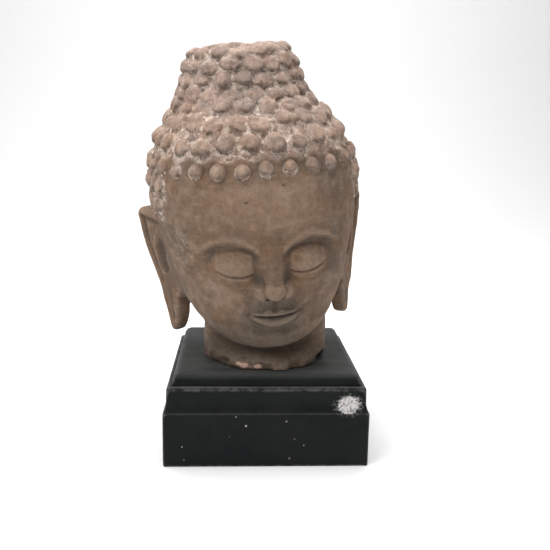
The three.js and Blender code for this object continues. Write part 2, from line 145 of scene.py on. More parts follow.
def smooth_cut(a, b, blend):
    return -smooth_union(-a, b, blend)


def along(z):
    """Half-width, front and back of the skull at height z: a smooth curve through stations."""
    heights = JAW_STATIONS[:, 0]
    values = JAW_STATIONS[:, 1:]
    slopes = np.zeros_like(values)
    slopes[1:-1] = (values[2:] - values[:-2]) / (heights[2:] - heights[:-2])[:, None]
    slopes[-1] = (values[-1] - values[-2]) / (heights[-1] - heights[-2])
    z = np.clip(z, heights[-1], heights[0])
    i = np.clip(np.searchsorted(-heights, -z, side="right") - 1, 0, len(heights) - 2)
    span = heights[i + 1] - heights[i]
    t = ((z - heights[i]) / span)[..., None]
    span = span[..., None]
    curve = ((2 * t ** 3 - 3 * t ** 2 + 1) * values[i]
             + (t ** 3 - 2 * t ** 2 + t) * span * slopes[i]
             + (3 * t ** 2 - 2 * t ** 3) * values[i + 1]
             + (t ** 3 - t ** 2) * span * slopes[i + 1])
    return curve[..., 0], curve[..., 1], curve[..., 2]


# Large primes that scatter the lattice's corners.
SCATTER = (73856093, 19349663, 83492791)
SEED_SCATTER = 2654435761


def lattice_noise(p, size, seed):
    """Smooth noise from -1 to 1 on a lattice of the given size, the same on every run."""
    q = p / size
    cell = np.floor(q).astype(np.int64)
    f = q - cell
    f = f * f * f * (f * (f * 6 - 15) + 10)
    total = 0.0
    for corner in np.ndindex(2, 2, 2):
        n = cell + corner
        h = ((n[..., 0] * SCATTER[0]) ^ (n[..., 1] * SCATTER[1]) ^ (n[..., 2] * SCATTER[2])
             ^ (seed * SEED_SCATTER))
        h = (h ^ (h >> 13)) * 1274126177 & 0x7FFFFFFF
        h = (h ^ (h >> 16)) & 0xFFFF
        weight = 1.0
        for axis in range(3):
            weight = weight * (f[..., axis] if corner[axis] else 1 - f[..., axis])
        total = total + weight * (h / 32767.5 - 1)
    return total


# ---- The face ------------------------------------------------------------------------------


def brow_line(x):
    t = np.clip((x - 8) / 66, 0, 1)
    return BROW_Z - 16 * (1 - t) ** 2.6 + 5 * np.sin(np.pi * t) - 12 * t ** 3


def lid_line(x):
    t = (x - EYE_X) / (EYE_WIDTH / 2)
    return EYE_Z - 8 + 3 * t * t + 1.6 * t


def eye_relief(x, z):
    from_brow = brow_line(x) - z
    across = ramp(x, 8, 20) * (1 - ramp(x, 58, 82))
    socket = ramp(from_brow, -2, 7) * (1 - ramp(from_brow, 12, 46))
    edge = bump(from_brow, -3.5, 4) * across
    ball = np.maximum(0, 1 - ((x - EYE_X) / 27) ** 2 - ((z - EYE_Z) / 18) ** 2)
    open_part = ramp(x, 16, 22) * (1 - ramp(x, 55, 61))
    above = ramp(z - lid_line(x), -0.7, 0.7)
    lid = above * open_part * np.minimum(ball * 4, 1) ** 0.5
    slit = bump(z, lid_line(x) - 0.3, 1.1) * open_part
    rim = bump(z, lid_line(x) - 3.2, 1.6) * ramp(x, 19, 26) * (1 - ramp(x, 50, 57))
    return (1.0 * edge - 6.4 * socket * across + 6.2 * ball ** 1.2 + 1.5 * lid - 1.6 * slit
            + 0.9 * rim)


def mouth_line(x):
    t = np.clip(x / MOUTH_HALF_WIDTH, 0, 1.3)
    return MOUTH_Z - 0.9 * np.cos(np.pi * t) + 0.9 * t ** 2


def mouth_relief(x, z):
    t = np.clip(x / MOUTH_HALF_WIDTH, 0, 1.3)
    line = mouth_line(x)
    taper = np.sqrt(np.maximum(1 - t, 0))
    upper_height = 8.2 * taper + 1.8 * bump(x, 6.5, 4.5) - 0.8 * bump(x, 0, 3)
    u = np.clip((z - line) / np.maximum(upper_height, 1), 0, 1)
    upper = (z > line) * (1 - u) ** 0.75 * ramp(u, -0.1, 0.3) * np.minimum(1.6 * taper, 1)
    lower_height = 11.5 * np.sqrt(np.maximum(1 - (t / 0.96) ** 2, 0))
    v = np.clip((line - z) / np.maximum(lower_height, 1), 0, 1)
    lower = (z <= line) * np.sin(np.pi * v ** 0.85) ** 0.8 * np.minimum(lower_height / 8, 1)
    groove = bump(z, line, 1.3) * (1 - ramp(t, 0.9, 1.12))
    corner = bump(x, MOUTH_HALF_WIDTH + 1, 4) * bump(z, line, 4.5)
    philtrum = bump(x, 0, 3.6) * bump(z, NOSE_BASE_Z - 6, 6)
    mound = (1 - ramp(x, 10, 50)) * bump(z, MOUTH_Z, 24)
    hollow = bump(z, MOUTH_Z - 17, 5) * (1 - ramp(x, 8, 28))
    chin = bump(x, 0, 23) * bump(z, CHIN_Z + 16, 15)
    return (4 * mound + 3.6 * upper + 4.2 * lower - 1.9 * groove - 1.9 * corner - 1.1 * philtrum
            - 2.6 * hollow + 6 * chin)


def face_relief(x, z):
    side = np.abs(x)
    cheek = bump(side, 50, 26) * bump(z, NOSE_BASE_Z + 8, 26)
    return eye_relief(side, z) + mouth_relief(side, z) + 3 * cheek


def tapered_rod(x, y, z, a, b, radius_a, radius_b):
    a, b = np.array(a, float), np.array(b, float)
    axis = b - a
    t = ((x - a[0]) * axis[0] + (y - a[1]) * axis[1] + (z - a[2]) * axis[2]) / axis.dot(axis)
    t = np.clip(t, 0, 1)
    away = np.sqrt((x - a[0] - t * axis[0]) ** 2 + (y - a[1] - t * axis[1]) ** 2
                   + (z - a[2] - t * axis[2]) ** 2)
    return away - mix(radius_a, radius_b, t)


def ellipsoid(x, y, z, centre, half):
    q = np.sqrt(((x - centre[0]) / half[0]) ** 2 + ((y - centre[1]) / half[1]) ** 2
                + ((z - centre[2]) / half[2]) ** 2)
    return (q - 1) * min(half)


def with_nose(form, x, y, z):
    side = np.abs(x)
    bridge = tapered_rod(side, y, z, (0, -109, BROW_Z - 12), (0, -126, NOSE_BASE_Z + 12), 7.5, 8.5)
    tip = ellipsoid(side, y, z, (0, -128, NOSE_BASE_Z + 9), (10, 11, 8.5))
    wing = ellipsoid(side, y, z, (12.5, -118, NOSE_BASE_Z + 7), (7, 10, 7))
    nose = smooth_union(smooth_union(bridge, tip, 5), wing, 3.5)
    form = smooth_union(form, nose, 9)
    nostril = ellipsoid(side, y, z, (6.8, -124, NOSE_BASE_Z - 0.5), (3.8, 6, 3.2))
    return smooth_cut(form, nostril, 2)


# ---- The stone -----------------------------------------------------------------------------


def skull_form(x, y, z):
    rise = np.maximum(z - SKULL_WIDEST_Z, 0) / SKULL_DOME
    half_width, front, back = along(z)
    middle = np.where(z < -150, (z + 150) * 0.9, 0)
    depth = np.maximum(np.where(y < middle, front + middle, back - middle), 4)
    side = np.abs(x - SKULL_TOP_SHIFT * ramp(z, -10, 30))
    section = ((side / half_width) ** SECTION_POWER
               + (np.abs(y - middle) / depth) ** SECTION_POWER) ** (1 / SECTION_POWER)
    form = (np.hypot(section, rise) - 1) * np.minimum(half_width, 90)
    return np.maximum(form, JAW_STATIONS[-1, 0] + 1 - z)


def crown_form(x, y, z):
    out = np.hypot(x - CROWN["x"], y - CROWN["y"])
    cone = (out - CROWN["radius"] + CROWN["taper"] * (z - CROWN["radius_z"])) * 0.9
    capped = -smooth_union(-cone, CROWN["top"] - z, CROWN["edge"])
    return np.maximum(capped, CROWN["bottom"] - z)


def bare_form(x, y, z):
    forward = ramp(-y, 30, 80)
    relief = face_relief(x, z) * forward * (z < BROW_Z + 30)
    return smooth_union(skull_form(x, y + relief, z), crown_form(x, y, z), CROWN["blend"])


def arc(points, steps):
    """Points along a Bezier curve of any order, without its first point."""
    points = [np.array(p, float) for p in points]
    order = len(points) - 1
    found = []
    for t in np.linspace(0, 1, steps + 1)[1:]:
        found.append(sum(math.comb(order, k) * t ** k * (1 - t) ** (order - k) * p
                         for k, p in enumerate(points)))
    return found


def ear_outline():
    """One ear seen square on: from the cheek at u = 0 back to its outer rim, z upwards."""
    outline = [np.array((-8, EAR_TOP - 4.0)), np.array((52, EAR_TOP))]
    outline += arc([(52, EAR_TOP), (60, EAR_TOP - 1), (60, EAR_TOP - 10)], 4)
    outline += arc([(60, EAR_TOP - 10), (59, -84), (52, -104), (44, -124)], 8)
    outline += arc([(44, -124), (39, -142), (37, -160), (34, EAR_TIP + 14)], 6)
    outline += arc([(34, EAR_TIP + 14), (31, EAR_TIP - 2), (21, EAR_TIP + 2)], 5)
    outline += arc([(21, EAR_TIP + 2), (8, EAR_TIP + 12), (3, -165), (0, -148)], 6)
    outline.append(np.array((-10, -135)))
    return np.array(outline, float)


def outline_distance(u, v, outline):
    """Signed distance to a closed outline, negative inside."""
    least = np.full(u.shape, 1e9)
    inside = np.zeros(u.shape, bool)
    for a, b in zip(outline, np.roll(outline, -1, axis=0)):
        edge = b - a
        du, dv = u - a[0], v - a[1]
        t = np.clip((du * edge[0] + dv * edge[1]) / edge.dot(edge), 0, 1)
        least = np.minimum(least, (du - t * edge[0]) ** 2 + (dv - t * edge[1]) ** 2)
        crosses = (a[1] > v) != (b[1] > v)
        inside ^= crosses & (du < dv * edge[0] / (edge[1] if edge[1] else 1e-9))
    return np.where(inside, -1, 1) * np.sqrt(least)


def ear_form(x, y, z, outline):
    side = np.abs(x)
    root = mix(EAR_ROOT_LOW, EAR_ROOT_HIGH, ramp(z, -190, -40))
    flare = mix(0.42, 0.53, ramp(z, -190, -50))
    dx, dy = side - root, y - EAR_ROOT_Y
    turn = -EAR_OUT * flare - EAR_BACK ** 2
    u = (-EAR_OUT * dx - EAR_BACK * dy) / turn
    lift = (flare * dy - EAR_BACK * dx) / turn
    edge = outline_distance(u, z, outline)
    depth_in = -edge
    upper = ramp(z, -140, -112)
    outer = ramp(u, 14, 26) + ramp(z, -66, -58) * ramp(u, 2, 10)
    outer = np.minimum(outer, 1)
    rim = bump(depth_in, 4.5, 3.6) * outer * ramp(z, -178, -150)
    channel = bump(depth_in, 11, 3.2) * outer * upper
    fold = bump(np.hypot((u - 17) / 15, (z + 97) / 27), 1.02, 0.16) * ramp(u, 12, 22) * upper
    bowl = np.maximum(1 - ((u - 17) / 12) ** 2 - ((z + 98) / 22) ** 2, 0)
    tragus = bump(u, 3, 6) * bump(z, -101, 9)
    slot = 0.5 * bump(u, 17, 3.2) * ramp(z, -181, -172) * (1 - ramp(z, -142, -132))
    relief = 2 * rim - 1.8 * channel + 1.6 * fold - 5.5 * bowl ** 0.8 + 3 * tragus - 3 * slot
    plate = np.maximum(lift - 2.5 - relief, -15.5 - lift) * 0.9
    return -smooth_union(-plate, -edge, 6)


def neck_form(x, y, z, bottom):
    """The neck stub, in the plinth's upright frame, with an uneven broken rim."""
    angle = np.arctan2((y - NECK["y"]) / NECK["half_depth"], x / NECK["half_width"])
    height = z - bottom
    wear = 2.2 + 1.2 * np.sin(3 * angle + 1) + 0.9 * np.sin(7 * angle)
    p = np.stack([x, y, z], axis=-1)
    chips = (5.5 * np.maximum(lattice_noise(p, 15.0, 5) - 0.05, 0)
             + 2.5 * np.maximum(lattice_noise(p, 6.0, 6), 0)) * (1 - ramp(height, 3, 15))
    shrink = wear / 75 * (1 - ramp(height, 0, 12))
    undercut = NECK["undercut"] * ramp(height, 3, 30) * ramp(NECK["y"] - y, 0, 50)
    reach = np.hypot(x / NECK["half_width"], (y - NECK["y"]) / (NECK["half_depth"] - undercut))
    ring = 0.9 * bump(height, 27 + 3 * np.cos(angle + np.pi / 2), 2.2)
    column = (reach / (1 - shrink) - 1) * 73 + chips + ring
    for place, size in BREAKS:
        column = smooth_cut(column, ellipsoid(x, y, z, place, (size * 1.1, size, size * 0.65)), 1.0)
    return np.maximum(column, z - NECK["top"])


# ---- Curls ---------------------------------------------------------------------------------


def surface_points(form, origins, directions):
    """Outermost point of a form on each ray, found from outside by halving steps."""
    origins = np.asarray(origins, float)
    directions = np.asarray(directions, float)

    def value(distance):
        p = origins + directions * distance[:, None]
        return form(p[:, 0], p[:, 1], p[:, 2])

    outside = np.full(len(origins), 230.0)
    waiting = value(outside) > 0
    while waiting.any():
        outside = np.where(waiting, outside - 4, outside)
        waiting &= (value(outside) > 0) & (outside > 4)
    inside, outside = outside, outside + 4
    for _ in range(18):
        middle = (inside + outside) / 2
        out = value(middle) > 0
        outside = np.where(out, middle, outside)
        inside = np.where(out, inside, middle)
    return origins + directions * inside[:, None]


def ring_directions(angles):
    return np.stack([np.sin(angles), -np.cos(angles), np.zeros_like(angles)], axis=-1)


def curl_row(z, start, end, shift):
    origin = np.array([[0.0, 0.0, z]])
    middle = surface_points(bare_form, origin, ring_directions(np.array([(start + end) / 2])))
    radius = np.linalg.norm(middle[0] - origin[0])
    full = end - start > 6.2
    count = int(math.floor(radius * (end - start) / CURL_SPACING + 0.5))
    steps = np.arange(count + (0 if full else 1))
    angles = start + (steps + shift) * (end - start) / count
    return surface_points(bare_form, np.repeat(origin, len(angles), 0), ring_directions(angles))


def curl_seats():
    turn = 2 * math.pi
    rows = []
    for i, z in enumerate(SKULL_ROWS + CROWN_ROWS):
        rows.append(curl_row(z, 0.0, turn, (i % 2) / 2))
    for i, radius in enumerate(TOP_ROW_RADII):
        count = max(3, int(math.floor(turn * radius / CURL_SPACING + 0.5)))
        angles = (np.arange(count) + i / 2) * turn / count
        origins = ring_directions(angles) * radius + (CROWN["x"], CROWN["y"], 40.0)
        rows.append(surface_points(bare_form, origins, np.tile((0.0, 0.0, 1.0), (count, 1))))
    for z, start in NAPE_ROWS:
        rows.append(curl_row(z, start, turn - start, 0))
    return rows


def outward(points):
    step = 1.5
    slope = []
    for axis in np.eye(3) * step:
        ahead, behind = points + axis, points - axis
        slope.append(bare_form(*ahead.T) - bare_form(*behind.T))
    slope = np.stack(slope, axis=-1)
    return slope / np.linalg.norm(slope, axis=-1, keepdims=True)


def is_bead(row_index, seat):
    """The lowest row is made of small beads along the forehead."""
    return row_index == 0 and seat[1] < -8


def curl_size(row_index, seat, rng):
    """Half-widths (across, along, out), height and wear of one curl."""
    if is_bead(row_index, seat):
        half = np.array((6.9, 6.9, 8.5))
        height, worn = 7.2, rng.uniform(0.85, 1.0)
    elif row_index < 2:
        half = np.array((9.6, 9.6, 10.5))
        height, worn = 7.6, rng.uniform(0.8, 1.0)
    elif row_index < len(SKULL_ROWS) or row_index >= len(SKULL_ROWS) + len(CROWN_ROWS) + 2:
        half = np.array((10.8, 10.6, 10.5))
        height, worn = 7.0, rng.uniform(0.65, 1.0)
    else:
        half = np.array((11.0, 8.2, 9.5))
        height, worn = 6.6, rng.uniform(0.65, 1.0)
    half = half * rng.normal(1, 0.07) * rng.uniform(0.93, 1.07, 3)
    return half, height * rng.uniform(0.88, 1.08), worn


def add_curls(field, low, step, rng):
    """Unions one worn, drooping knob per curl into the field, each within its own small block."""
    for row_index, row in enumerate(curl_seats()):
        outs = outward(row)
        for seat, out in zip(row, outs):
            east = np.cross((0.01, 0, 1), out)
            east /= np.linalg.norm(east)
            north = np.cross(out, east)
            half, height, worn = curl_size(row_index, seat, rng)
            droop = math.radians(rng.uniform(18, 36))
            shift = rng.normal(0, 0.6 if row_index == 0 else 1.3, 2)
            ahead = math.cos(droop) * out - math.sin(droop) * north
            up = math.cos(droop) * north + math.sin(droop) * out
            seat = seat + east * shift[0] + north * shift[1]
            centre = seat + out * height - north * 2 - ahead * half[2]
            lowest = np.maximum(((seat - 17 - low) / step).astype(int), 0)
            highest = np.minimum(((seat + 17 - low) / step).astype(int) + 2, field.shape)
            block = tuple(slice(a, b) for a, b in zip(lowest, highest))
            axes = [low[k] + step * np.arange(lowest[k], highest[k]) for k in range(3)]
            x, y, z = np.meshgrid(*axes, indexing="ij")
            p = np.stack([x, y, z], axis=-1)
            q = p - centre
            e, n, o = q @ east, q @ up, q @ ahead
            knob = (np.sqrt((e / half[0]) ** 2 + (n / half[1]) ** 2 + (o / half[2]) ** 2) - 1) * 9
            knob = knob + 0.7 * lattice_noise(p, 6.0, 31) + 0.6 * lattice_noise(p, 3.2, 32)
            slant = rng.normal(0, 0.16, 2)
            above = ((p - seat) @ (out + slant[0] * east + slant[1] * north)) - height * worn
            knob = -smooth_union(-knob, -above, 2.6)
            field[block] = smooth_union(field[block], knob.astype(np.float32), 2.2)


# ---- Meshing -------------------------------------------------------------------------------

# The block of space that holds the whole head, and how densely it is sampled.
LOCAL_LOW = np.array((-146.0, -152.0, -246.0))
LOCAL_HIGH = np.array((146.0, 136.0, 140.0))
SAMPLE_STEP, QUICK_SAMPLE_STEP = 1.3, 2.4
COARSE_SAMPLES = 4
SAMPLES_AT_ONCE = 400000
FAR_OUTSIDE = 60.0

EAR_BLEND, NECK_BLEND = 7, 5
HEAD_TRIANGLES = 190000
RANDOM_SEED = 12


def stone_form(x, y, z, outline):
    """The whole head but its curls, worn all over, with local points in millimetres."""
    form = with_nose(bare_form(x, y, z), x, y, z)
    near_ear = (np.abs(x) > 70) & (z < -30) & (z > -205) & (np.abs(y) < 75)
    ears = np.full(x.shape, FAR_OUTSIDE)
    ears[near_ear] = ear_form(x[near_ear], y[near_ear], z[near_ear], outline)
    form = smooth_union(form, ears, EAR_BLEND)
    pose = np.array(HEAD_POSE)
    p = np.stack([x, y, z], axis=-1)
    world = p @ pose[:3, :3].T + pose[:3, 3]
    bottom = HEAD_LOW[2]
    low_down = world[..., 2] < NECK["top"] + 10
    neck = np.full(x.shape, FAR_OUTSIDE)
    neck[low_down] = neck_form(*world[low_down].T, bottom)
    form = smooth_union(form, neck, NECK_BLEND)
    wear = 0.55 * lattice_noise(p, 24.0, 1) + 0.3 * lattice_noise(p, 9.0, 2)
    form = form + wear
    return np.maximum(form, bottom - world[..., 2])


def build_field(step, rng):
    outline = ear_outline()
    coarse = COARSE_SAMPLES
    counts = np.ceil((LOCAL_HIGH - LOCAL_LOW) / (step * coarse)).astype(int)
    axes = [LOCAL_LOW[k] + step * (coarse * np.arange(counts[k]) + (coarse - 1) / 2)
            for k in range(3)]
    x, y, z = np.meshgrid(*axes, indexing="ij")
    rough = stone_form(x, y, z, outline)
    reach = coarse * step
    near = (rough < 9 + reach) & (rough > -1.2 * reach - 2)
    field = rough.astype(np.float32)
    for axis in range(3):
        field = np.repeat(field, coarse, axis=axis)
        near = np.repeat(near, coarse, axis=axis)
    index = np.nonzero(near)
    places = [LOCAL_LOW[k] + step * index[k] for k in range(3)]
    for start in range(0, len(index[0]), SAMPLES_AT_ONCE):
        part = slice(start, start + SAMPLES_AT_ONCE)
        field[tuple(i[part] for i in index)] = stone_form(*(p[part] for p in places), outline)
    add_curls(field, LOCAL_LOW, step, rng)
    return field


def polygonise(field, step):
    grid = openvdb.FloatGrid(FAR_OUTSIDE)
    grid.copyFromArray(field)
    points, _, quads = grid.convertToPolygons(isovalue=0.0, adaptivity=0.0)
    return LOCAL_LOW + np.asarray(points) * step, np.asarray(quads)


def decimated(obj, wanted):
    """Replaces the object's mesh by one with about the wanted number of triangles."""
    count = sum(len(p.vertices) - 2 for p in obj.data.polygons)
    if count > wanted:
        modifier = obj.modifiers.new("decimate", "DECIMATE")
        modifier.ratio = wanted / count
        graph = bpy.context.evaluated_depsgraph_get()
        mesh = bpy.data.meshes.new_from_object(obj.evaluated_get(graph))
        obj.modifiers.clear()
        old = obj.data
        obj.data = mesh
        bpy.data.meshes.remove(old)


def buddha_head():
    step = SAMPLE_STEP
    rng = np.random.default_rng(RANDOM_SEED)
    field = build_field(step, rng)
    points, quads = polygonise(field, step)
    mesh = bpy.data.meshes.new("carved_head")
    mesh.from_pydata(points.tolist(), [], quads.tolist())
    mesh.update()
    head = bpy.data.objects.new("carved_head", mesh)
    bpy.context.scene.collection.objects.link(head)
    decimated(head, HEAD_TRIANGLES)
    mesh = head.data
    mesh.name = "carved_head"
    mark_surface(mesh)
    mesh.transform(Matrix.Scale(MM, 4) @ HEAD_POSE)
    mesh.shade_smooth()
    head.data.materials.append(stone_material())
    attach(head, "root")
    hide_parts("buddha_head")


def read_points(mesh):
    points = np.empty(len(mesh.vertices) * 3)
    mesh.vertices.foreach_get("co", points)
    return points.reshape(-1, 3)


def write_attribute(mesh, name, values):
    layer = mesh.attributes.new(name, "FLOAT", "POINT")
    layer.data.foreach_set("value", np.asarray(values, np.float32))


def hollowness(mesh, rounds):
    """How far each point lies below the average of its neighbourhood, in the mesh's units."""
    points = read_points(mesh)
    edges = np.empty(len(mesh.edges) * 2, np.int64)
    mesh.edges.foreach_get("vertices", edges)
    a, b = edges.reshape(-1, 2).T
    count = np.bincount(a, minlength=len(points)) + np.bincount(b, minlength=len(points))
    smooth = points.copy()
    for _ in range(rounds):
        total = np.zeros_like(points)
        for axis in range(3):
            total[:, axis] = (np.bincount(a, smooth[b, axis], len(points))
                              + np.bincount(b, smooth[a, axis], len(points)))
        smooth = total / count[:, None]
    normals = np.empty(len(points) * 3)
    mesh.vertices.foreach_get("normal", normals)
    return ((smooth - points) * normals.reshape(-1, 3)).sum(axis=1)


def mark_surface(mesh):
    """Marks for the material: how far each point is hair, stands off the skull and is hollow."""
    points = read_points(mesh)
    rows = curl_seats()
    hair = np.zeros(len(points))
    beads = np.array([seat for seat in rows[0] if is_bead(0, seat)])
    others = [seat for seat in rows[0] if not is_bead(0, seat)]
    for seats, full, none in ((beads, 6.5, 10.5), (np.concatenate([others, *rows[1:]]), 14, 19.5)):
        tree = KDTree(len(seats))
        for i, seat in enumerate(seats):
            tree.insert(seat, i)
        tree.balance()
        away = np.array([tree.find(p)[2] for p in points])
        hair = np.maximum(hair, 1 - ramp(away, full, none))
    write_attribute(mesh, "hair", hair)
    write_attribute(mesh, "standing", np.clip(bare_form(*points.T), -20, 20))
    write_attribute(mesh, "hollow", hollowness(mesh, 6))
    write_attribute(mesh, "broad_hollow", hollowness(mesh, 60))


# ---- The plinth ----------------------------------------------------------------------------

PLINTH_CORNER = 2.4
CORNER_STEPS, POINTS_PER_SIDE = 4, 60
DEEPEST_NICK = 0.5
# Paint specks on the front: across, height and half-width.
PLINTH_SPECKS = ((-21.9, 46.0, 1.4), (-89.4, 22.7, 0.9), (-32.5, 56.1, 0.8), (8.5, 64.9, 0.8),
                 (21.0, 51.0, 0.9), (39.0, 65.0, 0.8), (40.0, 24.0, 0.8), (30.0, 31.0, 0.7))


def plinth_profile():
    """Half-width and height of the moulding, from the underside to the flat top."""
    half = PLINTH_HIGH[0]
    profile = [(half - 1.2, 0), (half - 0.35, 0.35), (half, 1.2)]
    profile += [(half, z) for z in np.linspace(3, 56, 12)]
    profile += [(half, 57.7), (half - 0.2, 58.5), (half - 0.6, 58.9)]
    for t in np.linspace(0.1, 1, 8):
        profile.append((half - 0.6 - 2.7 * t, 58.9 + 7.6 * t ** 1.5))
    profile += [(106.4, 68), (106.4, 74), (106.35, 80), (106.2, 84), (105.9, 85.2), (105.4, 86.1)]
    profile += [(104.8, 86.8), (103.8, 87.1), (102.6, 87.1), (102.1, 86.7), (101.7, 86.4)]
    profile += [(101.2, 86.6), (100.9, 87.4)]
    for angle in np.linspace(0.12, 1, 12) * math.pi / 2:
        profile.append((100.9 - 10.6 * (1 - math.cos(angle)), 87.4 + 13.8 * math.sin(angle)))
    return profile


def square_ring(half, z, per_side, corner_steps):
    """Points round a square with slightly rounded corners, denser near the corners."""
    reach = half - PLINTH_CORNER
    points = []
    for quarter in range(4):
        turn = Matrix.Rotation(quarter * math.pi / 2, 2)
        for k in range(corner_steps + 1):
            angle = k / corner_steps * math.pi / 2
            points.append(turn @ Vector((reach + PLINTH_CORNER * math.cos(angle),
                                         reach + PLINTH_CORNER * math.sin(angle))))
        for k in range(1, per_side):
            t = k / per_side
            t = mix(t, ramp(t, 0, 1), 0.5)
            points.append(turn @ Vector((mix(reach, -reach, t), half)))
    return [(p.x, p.y, z) for p in points]


def plinth():
    rings = [square_ring(half, z, POINTS_PER_SIDE, CORNER_STEPS) for half, z in plinth_profile()]
    count = len(rings[0])
    points = np.array([p for ring in rings for p in ring])
    faces = []
    for r in range(len(rings) - 1):
        for k in range(count):
            after = (k + 1) % count
            faces.append((r * count + k, r * count + after, (r + 1) * count + after,
                          (r + 1) * count + k))
    faces.append(tuple(range(count))[::-1])
    faces.append(tuple(range((len(rings) - 1) * count, len(rings) * count)))
    mesh = bpy.data.meshes.new("moulded_plinth")
    mesh.from_pydata(points.tolist(), [], faces)
    mesh.update()
    sharp = -hollowness(mesh, 3)
    edge = ramp(sharp, 0.05, 0.5)
    worn = np.maximum(lattice_noise(points, 16.0, 21) * 0.6
                      + lattice_noise(points, 5.0, 22) * 0.5, 0)
    normals = np.empty(len(points) * 3)
    mesh.vertices.foreach_get("normal", normals)
    normals = normals.reshape(-1, 3)
    bite = DEEPEST_NICK * edge * worn
    bite[points[:, 2] < 1] = 0
    points = points - normals * bite[:, None]
    mesh.vertices.foreach_set("co", (points * MM).ravel())
    write_attribute(mesh, "edge", edge)
    mesh.update()
    mesh.shade_smooth()
    block = bpy.data.objects.new("moulded_plinth", mesh)
    bpy.context.scene.collection.objects.link(block)
    mesh.materials.append(plinth_material())
    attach(block, "root")
    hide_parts("plinth")


# ---- Materials -----------------------------------------------------------------------------


class Shading:
    """A short way to write a material's nodes."""

    def __init__(self, name):
        self.material = bpy.data.materials.new(name)
        self.material.use_nodes = True
        self.tree = self.material.node_tree
        self.shader = self.tree.nodes["Principled BSDF"]
        self.place = self.add("TexCoord").outputs["Object"]

    def add(self, kind, inputs=None, **settings):
        node = self.tree.nodes.new("ShaderNode" + kind)
        for name, value in settings.items():
            setattr(node, name, value)
        for name, value in (inputs or {}).items():
            self.feed(node.inputs[name], value)
        return node

    def feed(self, socket, value):
        if isinstance(value, bpy.types.NodeSocket):
            self.tree.links.new(value, socket)
        elif isinstance(value, tuple) and len(value) == 3 and socket.type == "RGBA":
            socket.default_value = (*value, 1)
        else:
            socket.default_value = value

    def math(self, operation, a, b=0.0, clamp=False):
        return self.add("Math", {0: a, 1: b}, operation=operation, use_clamp=clamp).outputs[0]

    def noise(self, scale, detail=3.0, roughness=0.55, place=None):
        inputs = {"Scale": scale, "Detail": detail, "Roughness": roughness,
                  "Vector": place or self.place}
        return self.add("TexNoise", inputs).outputs["Fac"]

    def cells(self, scale, feature="F1", output="Distance", place=None):
        inputs = {"Scale": scale, "Vector": place or self.place}
        return self.add("TexVoronoi", inputs, feature=feature).outputs[output]

    def attribute(self, name):
        return self.add("Attribute", attribute_name=name).outputs["Fac"]

    def ramp(self, value, low, high, to_low=0.0, to_high=1.0):
        inputs = {0: value, 1: low, 2: high, 3: to_low, 4: to_high}
        return self.add("MapRange", inputs, interpolation_type="SMOOTHSTEP").outputs[0]

    def mix(self, share, a, b, blend="MIX"):
        node = self.add("Mix", data_type="RGBA", blend_type=blend)
        self.feed(node.inputs[0], share)
        self.feed(node.inputs[6], a)
        self.feed(node.inputs[7], b)
        return node.outputs[2]

    def near(self, point, inner, outer, stretch=(1, 1, 1)):
        """1 within `inner` metres of a point, fading to 0 at `outer`."""
        shifted = self.add("VectorMath", {0: self.place, 1: tuple(point)}, operation="SUBTRACT")
        scaled = self.add("VectorMath", {0: shifted.outputs[0], 1: stretch}, operation="MULTIPLY")
        length = self.add("VectorMath", {0: scaled.outputs[0]}, operation="LENGTH")
        return self.ramp(length.outputs["Value"], inner, outer, 1.0, 0.0)

    def bump(self, height, distance, strength=1.0):
        node = self.add("Bump", {"Height": height, "Distance": distance, "Strength": strength})
        return node.outputs[0]


def head_place(x, y, z):
    """A point given from the head's own centre in millimetres, in the frame's metres."""
    return (HEAD_POSE @ Vector((x, y, z))) * MM


# Colours of the stone, in linear light.
WARM_STONE, DARK_STONE = (0.195, 0.122, 0.076), (0.132, 0.09, 0.062)
RUSTY_STONE, GREY_STONE = (0.215, 0.112, 0.056), (0.185, 0.15, 0.125)
CHISELLED_STONE = (0.3, 0.215, 0.155)
# The paler forehead colour is painted light where the overhead light falls most, not the stone's
# own tone.
FOREHEAD_PAINTED_LIGHT, MOUTH_STAIN = (0.30, 0.195, 0.13), (0.095, 0.08, 0.066)
LOW_CURLS, HIGH_CURLS = (0.31, 0.21, 0.155), (0.385, 0.275, 0.225)
GREY_CURLS, RUSTY_CURLS = (0.30, 0.235, 0.205), (0.36, 0.21, 0.14)
PALE_CRUST, RUBBED_STONE = (0.67, 0.55, 0.46), (0.44, 0.32, 0.24)
# The underside colour is painted shade under the curls; the hollow colour is dirt together with
# painted shade.
UNDERSIDE_PAINTED_SHADE, HOLLOW_DIRT_AND_SHADE = (0.07, 0.052, 0.042), (0.07, 0.052, 0.04)
# The neck colour is painted shade under the head's overhang.
HOLLOW_SHADE, NECK_PAINTED_SHADE = (0.11, 0.08, 0.06), (0.05, 0.04, 0.031)
DARK_TIPS, PALE_TIPS = (0.12, 0.08, 0.06), (0.56, 0.45, 0.36)
SCRATCHED_STONE, BROKEN_STONE = (0.5, 0.4, 0.33), (0.52, 0.33, 0.26)
PITTED_STONE = (0.06, 0.045, 0.035)
STONE_GLOSS, STONE_RELIEF = 0.3, 0.0009


